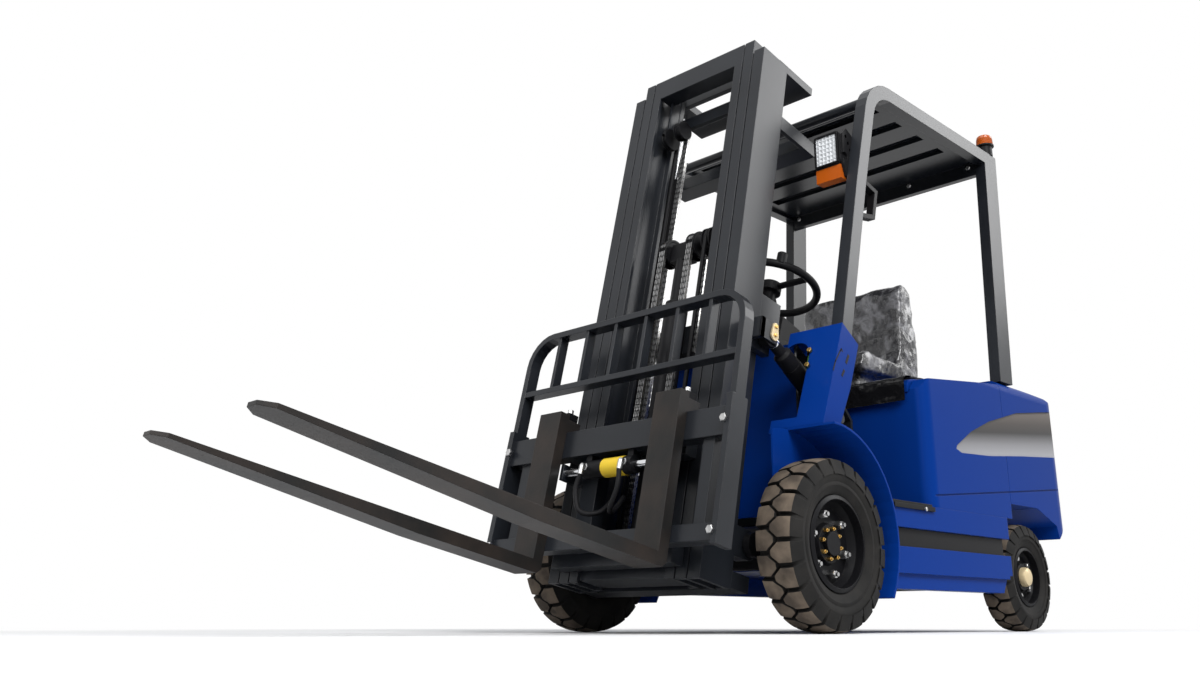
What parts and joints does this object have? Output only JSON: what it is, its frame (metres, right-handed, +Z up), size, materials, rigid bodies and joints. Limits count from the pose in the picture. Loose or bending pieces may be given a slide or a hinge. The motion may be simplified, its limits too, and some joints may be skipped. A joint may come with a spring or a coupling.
{
  "type": "electric counterbalance forklift",
  "caption": "Blue electric counterbalance forklift with a three stage mast, side shifting forks, overhead guard and solid tyres",
  "frame": {"origin": "on the ground at the middle of the part's outer box, seen from above", "axes": "+X points forward along the forks, +Y to the truck's left, +Z up"},
  "size_m": [3.2168, 1.092, 1.9316],
  "materials": {
    "body_blue": "gloss",
    "inlay_grey": "satin",
    "mast_charcoal": "satin",
    "fork_black": "satin",
    "chassis_black": "satin",
    "rim_black": "satin",
    "tyre_rubber": "matte",
    "black_plastic": "matte",
    "seat_vinyl": "satin",
    "amber_lens": "gloss",
    "red_lens": "gloss",
    "rod_chrome": "polished",
    "chain_steel": "oiled"
  },
  "bodies": {
    "chassis": {"frame": "body_blue", "side_steps": "black_plastic", "fender_left": "body_blue", "fender_right": "body_blue", "front_panel": "mast_charcoal", "floor_plate": "black_plastic", "battery_box": "body_blue", "battery": "chassis_black", "side_inlays": "inlay_grey", "counterweight": "body_blue", "tow_pin": "chain_steel", "drive_axle": "chassis_black", "steer_axle": "chassis_black", "guard_left": "mast_charcoal", "guard_right": "mast_charcoal", "guard_roof": "mast_charcoal", "dash": "black_plastic", "controls": "black_plastic", "head_lamps": "black_plastic", "signal_lamps": "amber_lens", "tail_lamps": "red_lens", "beacon": "amber_lens", "grab_handle": "black_plastic"},
    "front_wheel_left": {"front_tyre_left": "tyre_rubber", "front_rim_left": "rim_black"},
    "front_wheel_right": {"front_tyre_right": "tyre_rubber", "front_rim_right": "rim_black"},
    "steer_knuckle_left": {"knuckle_left": "chassis_black"},
    "steer_knuckle_right": {"knuckle_right": "chassis_black"},
    "rear_wheel_left": {"rear_tyre_left": "tyre_rubber", "rear_rim_left": "rim_black"},
    "rear_wheel_right": {"rear_tyre_right": "tyre_rubber", "rear_rim_right": "rim_black"},
    "helm": {"steering_wheel": "black_plastic"},
    "seat_hood": {"hood": "body_blue", "seat": "seat_vinyl"},
    "outer_mast": {"outer_rail_left": "mast_charcoal", "outer_rail_right": "mast_charcoal", "outer_ties": "mast_charcoal", "lift_barrels": "chassis_black"},
    "mid_mast": {"mid_rails": "mast_charcoal", "lift_rods": "rod_chrome"},
    "inner_mast": {"inner_rails": "mast_charcoal", "free_lift_barrel": "chassis_black"},
    "lift_head": {"crosshead": "chassis_black", "lift_chains": "chain_steel"},
    "lift_carriage": {"carriage": "mast_charcoal", "shift_rod": "rod_chrome"},
    "fork_frame": {"shift_frame": "mast_charcoal", "shift_barrel": "chassis_black", "backrest": "mast_charcoal", "fork_left": "fork_black", "fork_right": "fork_black"},
    "tilt_case_left": {"tilt_barrel_left": "chassis_black"},
    "tilt_ram_left": {"tilt_rod_left": "rod_chrome"},
    "tilt_case_right": {"tilt_barrel_right": "chassis_black"},
    "tilt_ram_right": {"tilt_rod_right": "rod_chrome"}
  },
  "joints": [
    {"name": "front_left_spin", "type": "hinge", "parent": "chassis", "child": "front_wheel_left", "pos_m": [0.0316, 0.472, 0.235], "axis": [0, 1, 0], "continuous": true},
    {"name": "front_right_spin", "type": "hinge", "parent": "chassis", "child": "front_wheel_right", "pos_m": [0.0316, -0.472, 0.235], "axis": [0, 1, 0], "continuous": true},
    {"name": "steer_left", "type": "hinge", "parent": "chassis", "child": "steer_knuckle_left", "pos_m": [-1.2514, 0.33, 0.186], "axis": [0, 0, 1], "range_deg": [-55, 55]},
    {"name": "rear_left_spin", "type": "hinge", "parent": "steer_knuckle_left", "child": "rear_wheel_left", "pos_m": [-1.2514, 0.418, 0.186], "axis": [0, 1, 0], "continuous": true},
    {"name": "steer_right", "type": "hinge", "parent": "chassis", "child": "steer_knuckle_right", "pos_m": [-1.2514, -0.33, 0.186], "axis": [0, 0, 1], "range_deg": [-55, 55]},
    {"name": "rear_right_spin", "type": "hinge", "parent": "steer_knuckle_right", "child": "rear_wheel_right", "pos_m": [-1.2514, -0.418, 0.186], "axis": [0, 1, 0], "continuous": true},
    {"name": "helm_spin", "type": "hinge", "parent": "chassis", "child": "helm", "pos_m": [-0.2684, 0, 0.8], "axis": [-0.3256, 0, 0.9455], "continuous": true},
    {"name": "hood_open", "type": "hinge", "parent": "chassis", "child": "seat_hood", "pos_m": [-1.0844, 0, 0.894], "axis": [0, -1, 0], "range_deg": [0, 60]},
    {"name": "mast_tilt", "type": "hinge", "parent": "chassis", "child": "outer_mast", "pos_m": [0.1476, 0, 0.235], "axis": [0, 1, 0], "range_deg": [0, 18]},
    {"name": "tilt_case_left_swing", "type": "hinge", "parent": "chassis", "child": "tilt_case_left", "pos_m": [-0.23882, 0.345, 0.63523], "axis": [0, 1, 0], "range_deg": [0, 11.8]},
    {"name": "tilt_ram_left_stroke", "type": "slide", "parent": "tilt_case_left", "child": "tilt_ram_left", "axis": [0.8387, 0, 0.5446], "range_m": [0, 0.1673]},
    {"name": "tilt_case_right_swing", "type": "hinge", "parent": "chassis", "child": "tilt_case_right", "pos_m": [-0.23882, -0.345, 0.63523], "axis": [0, 1, 0], "range_deg": [0, 11.8]},
    {"name": "tilt_ram_right_stroke", "type": "slide", "parent": "tilt_case_right", "child": "tilt_ram_right", "axis": [0.8387, 0, 0.5446], "range_m": [0, 0.1673]},
    {"name": "mid_lift", "type": "slide", "parent": "outer_mast", "child": "mid_mast", "axis": [-0.2079, 0, 0.9781], "range_m": [0, 1.4]},
    {"name": "inner_lift", "type": "slide", "parent": "mid_mast", "child": "inner_mast", "axis": [-0.2079, 0, 0.9781], "range_m": [0, 1.4]},
    {"name": "free_lift", "type": "slide", "parent": "inner_mast", "child": "lift_head", "axis": [-0.2079, 0, 0.9781], "range_m": [-0.02, 0.58]},
    {"name": "carriage_lift", "type": "slide", "parent": "lift_head", "child": "lift_carriage", "axis": [-0.2079, 0, 0.9781], "range_m": [-0.02, 0.58]},
    {"name": "side_shift", "type": "slide", "parent": "lift_carriage", "child": "fork_frame", "axis": [0, 1, 0], "range_m": [-0.08, 0.08]}
  ],
  "couplings": [
    {"joint": "steer_right", "follows": "steer_left", "ratio": 1},
    {"joint": "inner_lift", "follows": "mid_lift", "ratio": 1},
    {"joint": "carriage_lift", "follows": "free_lift", "ratio": 1},
    {"joint": "tilt_case_left_swing", "follows": "mast_tilt", "ratio": 0.65287},
    {"joint": "tilt_ram_left_stroke", "follows": "mast_tilt", "m_per_rad": 0.53099},
    {"joint": "tilt_case_right_swing", "follows": "mast_tilt", "ratio": 0.65287},
    {"joint": "tilt_ram_right_stroke", "follows": "mast_tilt", "m_per_rad": 0.53099}
  ]
}
